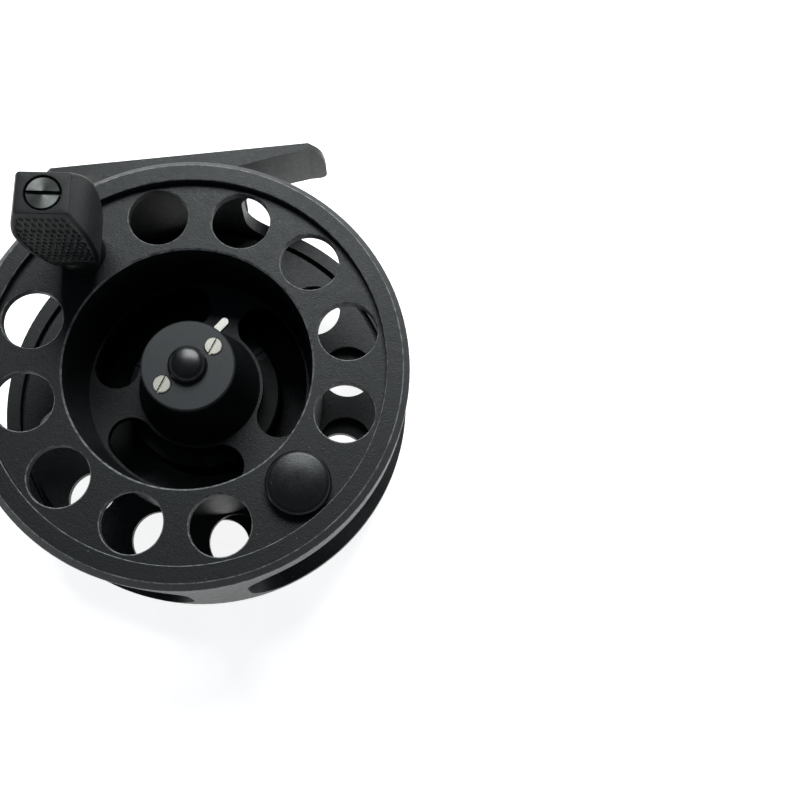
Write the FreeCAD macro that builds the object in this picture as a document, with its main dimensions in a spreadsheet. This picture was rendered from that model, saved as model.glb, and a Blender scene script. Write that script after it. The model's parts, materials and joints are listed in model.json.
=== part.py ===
"""Large-arbor fly reel, lying on its back.

Frame of the model: Z is the spindle axis and points out of the spool's face, +Y points to the
reel foot, +X runs along the foot. The origin is where the spindle axis meets the plane of the
drag knob's outer face, the lowest face of the reel. Millimetres throughout.
"""
import FreeCAD, Part
import math
import os
import re

import Sketcher
from FreeCAD import Placement, Rotation, Vector

DIMENSIONS = {
    # drag knob
    "knob_radius": 13.0,
    "knob_height": 7.6,
    "knob_floor": 3.2,
    "knob_bore": 8.05,
    "knob_seat_radius": 3.4,
    "knob_seat_depth": 2.0,
    "knob_flute_radius": 2.2,
    "knob_cap_thick": 0.7,
    # frame
    "frame_back": 8.0,
    "plate_thickness": 2.1,
    "cage_radius": 46.0,
    "cage_front_radius": 44.8,
    "cage_bore": 43.0,
    "cage_front": 38.6,
    "window_sill": 12.1,
    "window_top": 35.5,
    "window_middle": -5.15,
    "window_sweep": 154.3,
    "window_corner": 8.0,
    "pedestal_half": 13.0,
    "pedestal_root": 43.15,
    "hole_circle": 33.15,
    "back_hole_radius": 5.9,
    # drag housing in the middle of the frame
    "housing_radius": 17.0,
    "housing_bore": 13.6,
    "housing_floor": 2.5,
    "housing_front": 18.5,
    "spindle_seat": 3.0,
    "leg_radius": 1.0,
    "leg_circle": 6.3,
    "leg_play": 0.15,
    # housing cover and its screws
    "cover_thickness": 2.0,
    "cover_bore": 8.6,
    "cover_screw_circle": 15.3,
    "cover_screw_radius": 0.8,
    "cover_head_radius": 1.5,
    # reel foot
    "foot_face": 51.8,
    "foot_shift": 1.3,
    "foot_half_length": 32.65,
    "foot_back": 18.9,
    "foot_front": 33.9,
    "foot_thick": 4.0,
    "foot_slope_thick": 2.6,
    "foot_tip": 1.5,
    "foot_slope_half": 20.5,
    "foot_tip_half": 28.6,
    "foot_nose_half": 31.5,
    "foot_nose_level": 30.3,
    "foot_shoulder_half": 32.4,
    "foot_shoulder_level": 25.2,
    "foot_curve_radius": 9.0,
    "foot_heel_radius": 1.8,
    "foot_screw_spacing": 16.0,
    "foot_screw_radius": 1.2,
    "foot_head_radius": 2.5,
    "foot_screw_length": 7.0,
    # spindle
    "spindle_radius": 2.5,
    "spindle_stub": 2.0,
    "spindle_flange": 4.6,
    "spindle_top": 40.2,
    "groove_radius": 1.7,
    "groove_low": 38.6,
    "groove_high": 39.6,
    "clip_low": 36.1,
    "clip_high": 36.9,
    "clip_groove_radius": 1.9,
    # drag stack
    "thrust_radius": 7.95,
    "thrust_bore": 4.6,
    "spring_low": 11.15,
    "plate_low": 12.2,
    "rear_disc_low": 13.2,
    "rotor_low": 14.25,
    "rotor_high": 16.25,
    "rotor_hub_radius": 8.2,
    "rotor_front": 20.7,
    "front_disc_high": 17.3,
    "clutch_radius": 6.0,
    "clutch_bore": 5.2,
    "roller_radius": 0.55,
    "roller_circle": 4.6,
    # drive sleeve
    "sleeve_radius": 4.0,
    "sleeve_bore": 2.6,
    "sleeve_rear": 11.6,
    "sleeve_shoulder": 20.9,
    "sleeve_hub_radius": 6.0,
    "sleeve_front": 36.0,
    "dog_reach": 8.0,
    "dog_width": 2.4,
    "dog_low": 22.4,
    "dog_high": 25.4,
    "bearing_radius": 5.0,
    "bearing_width": 4.0,
    # ratchet and pawl
    "ratchet_root": 9.7,
    "ratchet_tip": 10.6,
    "ratchet_low": 20.95,
    "ratchet_high": 22.3,
    "pawl_circle": 14.2,
    "pawl_turn": 100.0,
    "pawl_arm_turn": -35.8,
    "pawl_low": 20.7,
    "pawl_high": 22.1,
    "pawl_pin_radius": 0.7,
    # spool
    "spool_face": 43.5,
    "rim_radius": 45.0,
    "rim_rise": 1.6,
    "rim_bevel": 1.4,
    "edge_break": 0.15,
    "hole_bevel": 0.22,
    "recess_bevel": 0.35,
    "rim_step_radius": 40.2,
    "rim_skirt_radius": 42.8,
    "rim_skirt_low": 39.1,
    "flange_thickness": 2.0,
    "front_hole_radius": 6.15,
    "hole_turn": 5.8,
    "recess_radius": 25.15,
    "recess_floor_radius": 23.8,
    "recess_depth": 16.9,
    "floor_thickness": 2.2,
    "boss_root_radius": 13.1,
    "boss_radius": 9.3,
    "arbor_radius": 26.6,
    "arbor_bore": 24.2,
    "rear_flange_radius": 41.6,
    "rear_flange_low": 10.9,
    "rear_flange_thickness": 1.7,
    "kidney_inner": 13.7,
    "kidney_outer": 23.3,
    "kidney_sweep": 67.4,
    "hub_tube_radius": 9.0,
    "hub_tube_low": 22.6,
    "hub_bore": 6.15,
    "latch_chamber_radius": 5.0,
    "latch_chamber_floor": 37.4,
    # hub cap and latch
    "cap_low": 42.0,
    "cap_thickness": 1.8,
    "cap_radius": 9.5,
    "cap_screw_circle": 6.4,
    "cap_screw_turn": 31.6,
    "cap_screw_radius": 0.75,
    "cap_head_radius": 1.85,
    "cap_head_proud": 0.35,
    "dome_radius": 4.0,
    "dome_height": 2.7,
    "dome_drop": 0.8,
    "dome_crown": 1.2,
    "dome_crown_round": 8.0,
    "dome_edge": 2.1,
    "dome_stem_radius": 2.95,
    "latch_pin_radius": 0.5,
    "latch_pin_circle": 3.6,
    "latch_pin_turn": 194.6,
    "latch_eye_radius": 0.95,
    "latch_turn": 41.0,
    "latch_way_turn": 38.0,
    "latch_length": 16.0,
    "latch_half_width": 0.8,
    "latch_low": 40.6,
    "latch_thickness": 1.0,
    # handle
    "handle_turn": 125.8,
    "handle_height": 27.9,
    "handle_bore": 2.65,
    "handle_base": 44.4,
    "handle_square_turn": -7.8,
    "collar_radius": 4.95,
    "neck_level": 46.6,
    "neck_half": 4.6,
    "neck_side_half": 4.3,
    "belly_level": 63.5,
    "belly_half": 6.95,
    "belly_side_half": 5.7,
    "crown_level": 71.4,
    "crown_half": 4.85,
    "crown_side_half": 4.05,
    "post_radius": 2.6,
    "post_rivet_radius": 2.0,
    "handle_screw_head": 3.17,
    "handle_screw_radius": 1.6,
    # counterweight
    "weight_turn": -54.2,
    "weight_radius": 6.55,
    "weight_height": 3.4,
    "weight_drop": 0.75,
    "weight_crown": 2.4,
    "weight_dome": 20.0,
    "weight_edge": 1.3,
    "weight_stem_radius": 2.95,
}

FUNCTION_NAMES = ("cos", "sin", "tan", "sqrt")

doc = FreeCAD.newDocument("FlyReel")
sheet = doc.addObject("Spreadsheet::Sheet", "Dimensions")
for row, (alias, value) in enumerate(DIMENSIONS.items(), start=1):
    sheet.set(f"A{row}", str(value))
    sheet.setAlias(f"A{row}", alias)
doc.recompute()


def cells(formula):
    """Make a formula of dimension names read the sheet."""
    def refer(word):
        name = word.group(0)
        return name if name in FUNCTION_NAMES else "Dimensions." + name
    return re.sub(r"[a-z_]{3,}", refer, str(formula))


def size(alias):
    """The number in one cell of the sheet."""
    return float(sheet.get(alias))


def origin_item(body, role):
    """The origin plane or axis of a body that has this role."""
    return next(item for item in body.Origin.OriginFeatures if item.Role == role)


def new_body(name, several=False):
    body = doc.addObject("PartDesign::Body", name)
    body.Label = name
    body.AllowCompound = several
    return body


def new_sketch(body, name, role, shift=("0", "0", "0"), turn_axis=Vector(0, 0, 1), turn="0"):
    """A sketch on one origin plane of its body, shifted and turned in the plane's own axes."""
    sketch = body.newObject("Sketcher::SketchObject", name)
    sketch.AttachmentSupport = (origin_item(body, role), "")
    sketch.MapMode = "FlatFace"
    sketch.AttachmentOffset = Placement(Vector(0, 0, 0), Rotation(turn_axis, 1))
    for axis, formula in zip("xyz", shift):
        sketch.setExpression("AttachmentOffset.Base." + axis, cells(formula))
    sketch.setExpression("AttachmentOffset.Rotation.Angle", cells(turn))
    return sketch


def pin_point(sketch, geometry, point, across, along):
    """Hold one point of the sketch at a formula's distance from the sketch's origin."""
    spot = sketch.getPoint(geometry, point)
    for kind, formula, axis, now in (("DistanceX", across, -2, spot.x), ("DistanceY", along, -1, spot.y)):
        if str(formula) == "0":
            sketch.addConstraint(Sketcher.Constraint("PointOnObject", geometry, point, axis))
            continue
        number = sketch.addConstraint(Sketcher.Constraint(kind, -1, 1, geometry, point, now))
        sketch.setExpression(f"Constraints[{number}]", cells(formula))


def draw_outline(sketch, corners):
    """Draw a closed outline of straight edges with every corner pinned by formulas."""
    count = len(corners)
    first = sketch.GeometryCount
    rough = [Vector(30 + 10 * math.cos(2 * math.pi * k / count),
                    30 + 10 * math.sin(2 * math.pi * k / count), 0) for k in range(count)]
    for k in range(count):
        sketch.addGeometry(Part.LineSegment(rough[k], rough[(k + 1) % count]))
    for k in range(count):
        following = first + (k + 1) % count
        sketch.addConstraint(Sketcher.Constraint("Coincident", first + k, 2, following, 1))
    for k, (across, along) in enumerate(corners):
        pin_point(sketch, first + k, 1, across, along)


def draw_circle(sketch, across, along, radius):
    """Draw a circle with its centre and radius held by formulas."""
    number = sketch.addGeometry(Part.Circle(Vector(5, 5, 0), Vector(0, 0, 1), 1.0))
    pin_point(sketch, number, 3, across, along)
    held = sketch.addConstraint(Sketcher.Constraint("Radius", number, 1.0))
    sketch.setExpression(f"Constraints[{held}]", cells(radius))


def volume_of(body):
    doc.recompute()
    return body.Shape.Volume


def require_change(body, feature, before, grows):
    """Stop if a feature that should add or remove material did nothing."""
    after = volume_of(body)
    changed = after > before + 1e-6 if grows else after < before - 1e-6
    if not changed:
        raise RuntimeError(f"{feature.Name} left the volume of {body.Name} at {after}")


def turn_solid(body, corners, name, turn="0", shift=("0", "0", "0"), role="XZ_Plane", sweep="360",
               middle=False):
    """Revolve an outline of (radius, height) formulas about the upright axis of its sketch."""
    sketch = new_sketch(body, name + "_outline", role, shift, Vector(0, 1, 0), turn)
    draw_outline(sketch, corners)
    solid = body.newObject("PartDesign::Revolution", name)
    solid.Profile = sketch
    solid.ReferenceAxis = (sketch, ["V_Axis"])
    solid.Midplane = middle
    solid.setExpression("Angle", cells(sweep))
    sketch.Visibility = False
    return solid


def turned_body(name, corners, **options):
    """A whole sub-part turned from one outline."""
    body = new_body(name, options.pop("several", False))
    turn_solid(body, corners, name + "_turned", **options)
    return body


def turn_cut(body, name, corners, turn, sweep):
    """Groove an outline into a body through a sector centred on one direction."""
    before = volume_of(body)
    sketch = new_sketch(body, name + "_outline", "XZ_Plane", ("0", "0", "0"), Vector(0, 1, 0), turn)
    draw_outline(sketch, corners)
    groove = body.newObject("PartDesign::Groove", name)
    groove.Profile = sketch
    groove.ReferenceAxis = (sketch, ["V_Axis"])
    groove.Midplane = True
    groove.setExpression("Angle", cells(sweep))
    require_change(body, groove, before, False)
    return groove


def bore(body, name, circles, top, depth, turn="0"):
    """Sink round holes along -Z from a level; circles are (across, along, radius) formulas."""
    before = volume_of(body)
    sketch = new_sketch(body, name + "_circles", "XY_Plane", ("0", "0", top), Vector(0, 0, 1), turn)
    for across, along, radius in circles:
        draw_circle(sketch, across, along, radius)
    pocket = body.newObject("PartDesign::Pocket", name)
    pocket.Profile = sketch
    pocket.setExpression("Length", cells(depth))
    require_change(body, pocket, before, False)
    return pocket


def cut_outline(body, name, corners, top, depth, turn="0", shift=("0", "0"), role="XY_Plane"):
    """Sink a straight-edged pocket along the plane's normal from a level."""
    before = volume_of(body)
    place = (shift[0], shift[1], top)
    sketch = new_sketch(body, name + "_outline", role, place, Vector(0, 0, 1), turn)
    draw_outline(sketch, corners)
    pocket = body.newObject("PartDesign::Pocket", name)
    pocket.Profile = sketch
    pocket.setExpression("Length", cells(depth))
    require_change(body, pocket, before, False)
    return pocket


def pad_outline(body, name, corners, level, height, turn="0", shift=("0", "0"), role="XY_Plane"):
    """Raise a straight-edged pad along the plane's normal from a level."""
    place = (shift[0], shift[1], level)
    sketch = new_sketch(body, name + "_outline", role, place, Vector(0, 0, 1), turn)
    draw_outline(sketch, corners)
    pad = body.newObject("PartDesign::Pad", name)
    pad.Profile = sketch
    pad.setExpression("Length", cells(height))
    return pad


def polar(body, name, originals, copies, sweep=360):
    """Repeat features about Z."""
    pattern = body.newObject("PartDesign::PolarPattern", name)
    pattern.Originals = originals
    pattern.Axis = (origin_item(body, "Z_Axis"), [""])
    pattern.Angle = sweep
    pattern.Occurrences = copies
    body.Tip = pattern
    doc.recompute()
    return pattern


def mirror(body, name, originals, role="YZ_Plane"):
    """Repeat features on the other side of an origin plane."""
    copy = body.newObject("PartDesign::Mirrored", name)
    copy.Originals = originals
    copy.MirrorPlane = (origin_item(body, role), [""])
    body.Tip = copy
    doc.recompute()
    return copy


def round_edges(body, name, radius, wanted):
    """Fillet the edges of the body's tip that a test picks."""
    doc.recompute()
    base = body.Tip
    names = [f"Edge{k}" for k, edge in enumerate(base.Shape.Edges, start=1) if wanted(edge)]
    if not names:
        raise RuntimeError(f"{name} found no edges")
    fillet = body.newObject("PartDesign::Fillet", name)
    fillet.Base = (base, names)
    fillet.setExpression("Radius", cells(radius))
    doc.recompute()
    return fillet


def bevel_edges(body, name, width, wanted):
    """Chamfer the edges of the body's tip that a test picks."""
    doc.recompute()
    base = body.Tip
    names = [f"Edge{k}" for k, edge in enumerate(base.Shape.Edges, start=1) if wanted(edge)]
    if not names:
        raise RuntimeError(f"{name} found no edges")
    chamfer = body.newObject("PartDesign::Chamfer", name)
    chamfer.Base = (base, names)
    chamfer.setExpression("Size", cells(width))
    doc.recompute()
    return chamfer


def circle_at(radius, level, tolerance=0.02):
    """A test for full or part circles about Z with this radius at this height."""
    def test(edge):
        curve = edge.Curve
        if not isinstance(curve, Part.Circle):
            return False
        on_axis = math.hypot(curve.Center.x, curve.Center.y) < tolerance
        return (on_axis and abs(curve.Radius - radius) < tolerance
                and abs(curve.Center.z - level) < tolerance)
    return test


def hole_edge_at(radius, level, tolerance=0.02):
    """A test for circles of this radius off the Z axis at this height."""
    def test(edge):
        curve = edge.Curve
        if not isinstance(curve, Part.Circle):
            return False
        return (math.hypot(curve.Center.x, curve.Center.y) > 1.0
                and abs(curve.Radius - radius) < tolerance
                and abs(curve.Center.z - level) < tolerance)
    return test


# ---------------------------------------------------------------- frame and foot

def place_at_foot(item):
    """Shift a piece built over the spindle axis sideways to the reel foot."""
    item.setExpression("Placement.Base.x", cells("foot_shift"))


def make_frame():
    """Cage: a ring wall with two long windows and the pedestal that carries the reel foot."""
    frame = turned_body("frame", [
        ("cage_bore", "frame_back"), ("cage_radius - 1", "frame_back"),
        ("cage_radius", "frame_back + 1"), ("cage_radius", "window_sill"),
        ("cage_front_radius", "cage_front"), ("cage_bore", "cage_front")])

    window = turn_cut(frame, "cage_window", [
        ("cage_bore - 2", "window_sill"), ("cage_radius + 2", "window_sill"),
        ("cage_radius + 2", "window_top"), ("cage_bore - 2", "window_top")],
        "window_middle", "window_sweep")
    mirror(frame, "cage_windows", [window])

    def window_corner(edge):
        if not isinstance(edge.Curve, Part.Line) or edge.Length > 4.0:
            return False
        middle = edge.CenterOfMass
        radial = math.hypot(middle.x, middle.y)
        level = min(abs(middle.z - size("window_sill")), abs(middle.z - size("window_top")))
        return radial > size("cage_bore") and level < 0.01
    round_edges(frame, "window_corners", "window_corner", window_corner)

    pad_outline(frame, "pedestal", [
        ("foot_shift - pedestal_half", "foot_back + 1"),
        ("foot_shift + pedestal_half", "foot_back + 1"),
        ("foot_shift + pedestal_half", "foot_front - 1"),
        ("foot_shift - pedestal_half", "foot_front - 1")],
        "foot_thick - foot_face", "foot_face - foot_thick - pedestal_root", role="XZ_Plane")
    before = volume_of(frame)
    threads = new_sketch(frame, "foot_thread_circles", "XZ_Plane",
                         ("0", "0", "foot_thick - foot_face"))
    for side in ("0.5", "0 - 0.5"):
        draw_circle(threads, f"foot_shift + foot_screw_spacing * ({side})",
                    "(foot_back + foot_front) / 2", "foot_screw_radius + 0.05")
    pocket = frame.newObject("PartDesign::Pocket", "foot_threads")
    pocket.Profile = threads
    pocket.Reversed = True
    pocket.setExpression("Length", cells("foot_screw_length - foot_thick + 0.6"))
    require_change(frame, pocket, before, False)
    return frame


def make_back_plate():
    """Pierced flat disc seated in the rear of the cage, with the spindle's seat in its middle."""
    plate_top = "frame_back + plate_thickness"
    plate = turned_body("back_plate", [
        ("spindle_seat", "frame_back"), ("cage_bore", "frame_back"), ("cage_bore", plate_top),
        ("spindle_seat", plate_top)])
    holes = bore(plate, "back_hole", [("hole_circle", "0", "back_hole_radius")],
                 plate_top, "plate_thickness + 1")
    polar(plate, "back_holes", [holes], 12)
    legs = bore(plate, "leg_hole", [("leg_circle", "0", "leg_radius + leg_play")],
                plate_top, "plate_thickness + 1")
    polar(plate, "leg_holes", [legs], 3)
    return plate


def make_drag_housing():
    """Cup that stands on the back plate and holds the drag stack."""
    plate_top = "frame_back + plate_thickness"
    floor_top = "frame_back + housing_floor"
    housing = turned_body("drag_housing", [
        ("spindle_seat", plate_top), ("housing_radius", plate_top),
        ("housing_radius", "housing_front"), ("housing_bore", "housing_front"),
        ("housing_bore", floor_top), ("spindle_seat", floor_top)])
    legs = bore(housing, "housing_leg_hole", [("leg_circle", "0", "leg_radius + leg_play")],
                floor_top, "housing_floor")
    polar(housing, "housing_leg_holes", [legs], 3)
    screw = bore(housing, "cover_screw_hole",
                 [("cover_screw_circle", "0", "cover_screw_radius + 0.05")],
                 "housing_front", "5", "30")
    polar(housing, "cover_screw_holes", [screw], 3)
    return housing


def make_foot():
    """Reel foot: flat outer face, thick over the pedestal, thin ends with a curved nose."""
    foot = new_body("reel_foot")
    steps = [("foot_half_length", "foot_tip"), ("foot_tip_half", "foot_tip"),
             ("foot_slope_half", "foot_slope_thick"), ("pedestal_half", "foot_thick")]
    right = [(across, f"foot_face - {thick}") for across, thick in steps]
    left = [(f"0 - {across}", along) for across, along in reversed(right)]
    corners = [("0 - foot_half_length", "foot_face"), ("foot_half_length", "foot_face")]
    pad_outline(foot, "foot_bar", corners + right + left, "foot_back", "foot_front - foot_back")

    before = volume_of(foot)
    nose_outline = new_sketch(foot, "nose_outline", "XZ_Plane", ("0", "0", "0 - foot_face - 1"))
    draw_outline(nose_outline, [
        ("foot_tip_half", "foot_front"), ("foot_nose_half", "foot_nose_level"),
        ("foot_shoulder_half", "foot_shoulder_level"), ("foot_half_length", "foot_back"),
        ("foot_half_length + 2", "foot_back"), ("foot_half_length + 2", "foot_front + 1"),
        ("foot_tip_half", "foot_front + 1")])
    nose = foot.newObject("PartDesign::Pocket", "nose")
    nose.Profile = nose_outline
    nose.Reversed = True
    nose.setExpression("Length", cells("foot_thick + 2"))
    require_change(foot, nose, before, False)
    mirror(foot, "noses", [nose])

    def on_line(half, level):
        def test(edge):
            middle = edge.CenterOfMass
            return (isinstance(edge.Curve, Part.Line) and middle.y < size("foot_face") - 0.01
                    and abs(abs(middle.x) - size(half)) < 0.01
                    and abs(middle.z - size(level)) < 0.01)
        return test
    round_edges(foot, "nose_bends", "foot_curve_radius", on_line("foot_nose_half", "foot_nose_level"))
    round_edges(foot, "shoulder_bends", "foot_curve_radius",
                on_line("foot_shoulder_half", "foot_shoulder_level"))
    round_edges(foot, "heels", "foot_heel_radius", on_line("foot_half_length", "foot_back"))

    before = volume_of(foot)
    circles = new_sketch(foot, "screw_seat_outline", "XY_Plane",
                         ("foot_screw_spacing / 2", "0", "(foot_back + foot_front) / 2"))
    draw_outline(circles, [
        ("0", "foot_face + 1"), ("foot_head_radius + 1.1", "foot_face + 1"),
        ("foot_screw_radius + 0.1", "foot_face - foot_head_radius + foot_screw_radius"),
        ("foot_screw_radius + 0.1", "foot_face - foot_thick - 1"), ("0", "foot_face - foot_thick - 1")])
    seat = foot.newObject("PartDesign::Groove", "screw_seat")
    seat.Profile = circles
    seat.ReferenceAxis = (circles, ["V_Axis"])
    seat.Angle = 360
    require_change(foot, seat, before, False)
    mirror(foot, "screw_seats", [seat])
    place_at_foot(foot)
    return foot


def make_foot_screws():
    """Two countersunk screws, flush with the foot's outer face."""
    screws = new_body("foot_screws", several=True)
    one = turn_solid(screws, [
        ("0", "foot_face"), ("foot_head_radius", "foot_face"),
        ("foot_screw_radius", "foot_face - foot_head_radius + foot_screw_radius"),
        ("foot_screw_radius", "foot_face - foot_screw_length"), ("0", "foot_face - foot_screw_length")],
        "foot_screw", "0", ("foot_screw_spacing / 2", "0", "(foot_back + foot_front) / 2"), "XY_Plane")
    before = volume_of(screws)
    slot = new_sketch(screws, "foot_screw_slot_outline", "XY_Plane",
                      ("foot_screw_spacing / 2", "foot_face", "(foot_back + foot_front) / 2 - 0.4"))
    draw_outline(slot, [("0 - foot_head_radius", "0 - 0.8"), ("foot_head_radius", "0 - 0.8"),
                        ("foot_head_radius", "0.5"), ("0 - foot_head_radius", "0.5")])
    driver = screws.newObject("PartDesign::Pocket", "foot_screw_slot")
    driver.Profile = slot
    driver.Reversed = True
    driver.Length = 0.8
    require_change(screws, driver, before, False)
    mirror(screws, "foot_screw_pair", [one, driver])
    place_at_foot(screws)
    return screws


# ---------------------------------------------------------------- spindle and drag knob

def make_spindle():
    """Fixed steel spindle with a flange, a clip groove and the latch groove."""
    spindle = turned_body("spindle", [
        ("0", "knob_seat_depth - 0.1"), ("spindle_stub", "knob_seat_depth - 0.1"),
        ("spindle_stub", "frame_back - 2.4"), ("spindle_radius", "frame_back - 2.4"),
        ("spindle_radius", "frame_back"), ("spindle_seat - 0.01", "frame_back"),
        ("spindle_seat - 0.01", "frame_back + housing_floor"),
        ("spindle_flange", "frame_back + housing_floor"),
        ("spindle_flange", "frame_back + housing_floor + 0.6"),
        ("spindle_radius", "frame_back + housing_floor + 0.6"),
        ("spindle_radius", "clip_low"), ("clip_groove_radius", "clip_low"),
        ("clip_groove_radius", "clip_high"), ("spindle_radius", "clip_high"),
        ("spindle_radius", "groove_low"), ("groove_radius", "groove_low"),
        ("groove_radius", "groove_high"), ("spindle_radius", "groove_high"),
        ("spindle_radius - 0.6", "spindle_top"), ("0", "spindle_top")])
    bore(spindle, "knob_screw_hole", [("0", "0", "1.25")], "frame_back - 2.5", "frame_back - 3")
    return spindle


def make_spindle_nut():
    """Hexagon nut that holds the spindle against the back plate."""
    hexagon = doc.addObject("Part::Prism", "nut_hexagon")
    hexagon.Polygon = 6
    hexagon.Circumradius = 4.04
    hexagon.setExpression("Height", cells("2.2"))
    hole = doc.addObject("Part::Cylinder", "nut_hole")
    hole.setExpression("Radius", cells("spindle_radius + 0.02"))
    hole.Height = 2.2
    nut = doc.addObject("Part::Cut", "spindle_nut")
    nut.Base = hexagon
    nut.Tool = hole
    nut.Label = "spindle_nut"
    nut.setExpression("Placement.Base.z", cells("frame_back - 2.2"))
    return nut


def make_drag_knob():
    """Fluted knob whose cavity carries the thread of the thrust nut."""
    knob = turned_body("drag_knob", [
        ("spindle_stub + 0.05", "knob_seat_depth"), ("knob_seat_radius", "knob_seat_depth"),
        ("knob_seat_radius", "0"), ("knob_radius - 0.8", "0"), ("knob_radius", "0.8"),
        ("knob_radius", "knob_height - 0.6"), ("knob_radius - 0.6", "knob_height"),
        ("knob_bore", "knob_height"), ("knob_bore", "knob_floor"),
        ("spindle_stub + 0.05", "knob_floor")])
    flute = bore(knob, "knob_flute", [("knob_radius + 1.1", "0", "knob_flute_radius")],
                 "knob_height + 1", "knob_height + 2")
    polar(knob, "knob_flutes", [flute], 12)
    return knob


def make_knob_screw():
    """Slotted screw that keeps the knob on the spindle's rear end."""
    screw = turned_body("knob_screw", [
        ("0", "0.85"), ("knob_seat_radius - 0.4", "0.85"),
        ("knob_seat_radius - 0.4", "knob_seat_depth - 0.1"), ("1.2", "knob_seat_depth - 0.1"),
        ("1.2", "5.2"), ("0", "5.2")])
    cut_outline(screw, "knob_screw_slot", [
        ("0 - knob_seat_radius", "0 - 0.4"), ("knob_seat_radius", "0 - 0.4"),
        ("knob_seat_radius", "0.4"), ("0 - knob_seat_radius", "0.4")], "1.3", "0.7")
    return screw


def make_knob_cap():
    """Flat disc pressed into the knob over its screw."""
    return turned_body("knob_cap", [
        ("0", "0"), ("knob_seat_radius - 0.25", "0"), ("knob_seat_radius - 0.01", "0.24"),
        ("knob_seat_radius - 0.01", "knob_cap_thick"), ("0", "knob_cap_thick")])


def make_thrust_nut():
    """Ring that the knob screws forward; its legs reach through the housing floor."""
    nut = turned_body("thrust_nut", [
        ("thrust_bore", "3.4"), ("thrust_radius", "3.4"), ("thrust_radius", "6.4"),
        ("thrust_bore", "6.4")])
    sketch = new_sketch(nut, "leg_circle_outline", "XY_Plane", ("0", "0", "6"))
    draw_circle(sketch, "leg_circle", "0", "leg_radius")
    leg = nut.newObject("PartDesign::Pad", "leg")
    leg.Profile = sketch
    leg.setExpression("Length", cells("spring_low - 6.05"))
    polar(nut, "legs", [leg], 3)
    return nut


# ---------------------------------------------------------------- drag stack

def make_drag_spring():
    """Conical disc spring between the legs and the pressure plate."""
    return turned_body("drag_spring", [
        ("5.2", "spring_low"), ("8.6", "spring_low + 0.6"),
        ("8.6", "spring_low + 1"), ("5.2", "spring_low + 0.4")])


def washer(name, inner, outer, low, high):
    """A plain ring of rectangular section."""
    return turned_body(name, [(inner, low), (outer, low), (outer, high), (inner, high)])


def make_drag_rotor():
    """Brake disc with a hub that holds the one-way clutch."""
    return turned_body("drag_rotor", [
        ("clutch_radius", "rotor_low"), ("housing_bore - 0.5", "rotor_low"),
        ("housing_bore - 0.5", "rotor_high"), ("rotor_hub_radius", "rotor_high"),
        ("rotor_hub_radius", "rotor_front"), ("clutch_radius", "rotor_front")])


def make_clutch_rollers():
    """Eight needle rollers between the clutch shell and the sleeve."""
    rollers = new_body("clutch_rollers", several=True)
    sketch = new_sketch(rollers, "roller_outline", "XY_Plane", ("0", "0", "rotor_low + 0.5"))
    draw_circle(sketch, "roller_circle", "0", "roller_radius")
    roller = rollers.newObject("PartDesign::Pad", "roller")
    roller.Profile = sketch
    roller.setExpression("Length", cells("rotor_front - rotor_low - 1"))
    polar(rollers, "rollers", [roller], 8)
    return rollers


def make_housing_cover():
    """Front cover of the drag housing, with screw seats and the pawl pin's hole."""
    front = "housing_front + cover_thickness"
    cover = turned_body("housing_cover", [
        ("cover_bore", "front_disc_high + 0.05"), ("housing_bore - 0.1", "front_disc_high + 0.05"),
        ("housing_bore - 0.1", "housing_front"), ("housing_radius", "housing_front"),
        ("housing_radius", "housing_front + cover_thickness - 0.4"),
        ("housing_radius - 0.4", front), ("cover_bore", front)])
    seat = bore(cover, "cover_screw_seat", [("cover_screw_circle", "0", "cover_head_radius + 0.05")],
                front, "0.8", "30")
    hole = bore(cover, "cover_screw_way", [("cover_screw_circle", "0", "cover_screw_radius + 0.05")],
                front, "cover_thickness + 1", "30")
    polar(cover, "cover_screw_seats", [seat, hole], 3)
    bore(cover, "pawl_pin_hole", [("pawl_circle", "0", "pawl_pin_radius + 0.01")], front,
         "cover_thickness - 0.1", "pawl_turn")
    return cover


def make_cover_screws():
    """Three slotted screws, flush with the housing cover."""
    front = "housing_front + cover_thickness"
    screws = new_body("cover_screws", several=True)
    screw = turn_solid(screws, [
        ("0", "14.5"), ("cover_screw_radius", "14.5"), ("cover_screw_radius", front + " - 0.8"),
        ("cover_head_radius", front + " - 0.8"), ("cover_head_radius", front), ("0", front)],
        "cover_screw", "30", ("cover_screw_circle * cos(30)", "0", "0 - cover_screw_circle * sin(30)"))
    slot = cut_outline(screws, "cover_screw_slot", [
        ("cover_screw_circle - 2", "0 - 0.25"), ("cover_screw_circle + 2", "0 - 0.25"),
        ("cover_screw_circle + 2", "0.25"), ("cover_screw_circle - 2", "0.25")],
        front + " + 0.1", "0.5", "30")
    polar(screws, "cover_screw_set", [screw, slot], 3)
    return screws


# ---------------------------------------------------------------- drive sleeve and click

def make_drive_sleeve():
    """Sleeve that turns on the spindle and drives the spool through four dogs."""
    sleeve = turned_body("drive_sleeve", [
        ("3.3", "sleeve_rear"), ("sleeve_radius", "sleeve_rear"), ("sleeve_radius", "sleeve_shoulder"),
        ("sleeve_hub_radius", "sleeve_shoulder"), ("sleeve_hub_radius", "sleeve_front"),
        ("bearing_radius", "sleeve_front"), ("bearing_radius", "sleeve_front - bearing_width"),
        ("sleeve_bore", "sleeve_front - bearing_width"), ("sleeve_bore", "sleeve_rear + 5"),
        ("3.3", "sleeve_rear + 5")])
    dog = pad_outline(sleeve, "dog", [
        ("5.5", "0 - dog_width / 2"), ("dog_reach", "0 - dog_width / 2"),
        ("dog_reach", "dog_width / 2"), ("5.5", "dog_width / 2")],
        "dog_low", "dog_high - dog_low")
    polar(sleeve, "dogs", [dog], 4)
    return sleeve


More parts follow.
